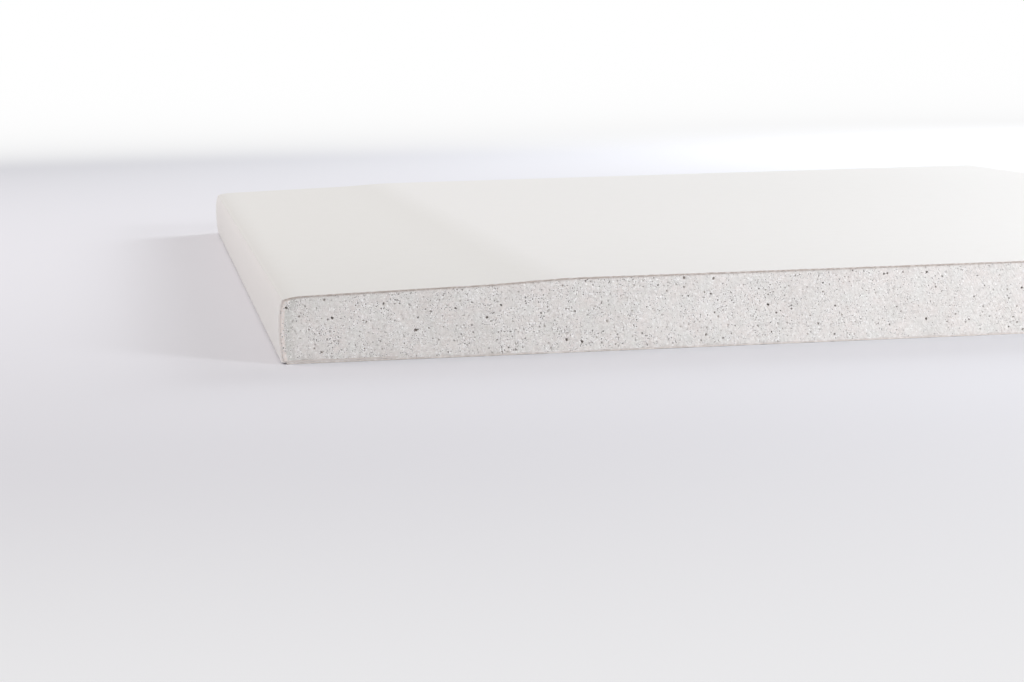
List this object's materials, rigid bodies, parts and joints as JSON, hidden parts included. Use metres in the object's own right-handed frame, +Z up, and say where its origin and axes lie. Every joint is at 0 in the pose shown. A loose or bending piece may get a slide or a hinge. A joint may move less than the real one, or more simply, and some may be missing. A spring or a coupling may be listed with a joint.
{
  "type": "drywall sheet offcut",
  "caption": "Rectangular offcut of gypsum drywall lying flat: pitted white core between papers, with a tapered long edge wrapped in face paper and the other sides cut",
  "frame": {"origin": "middle of the footprint, on the surface the sheet lies on, under its back paper", "axes": "+Z up out of the face paper, +Y along the bound edge (the longest side), +X across the sheet from the bound tapered edge at -X to the cut side at +X"},
  "size_m": [0.22, 0.3, 0.0125],
  "materials": {
    "gypsum": "matte",
    "ivory_paper": "matte",
    "grey_paper": "matte"
  },
  "bodies": {
    "root": {"gypsum_core": "gypsum", "face_paper": "ivory_paper", "back_paper": "grey_paper"}
  },
  "joints": []
}
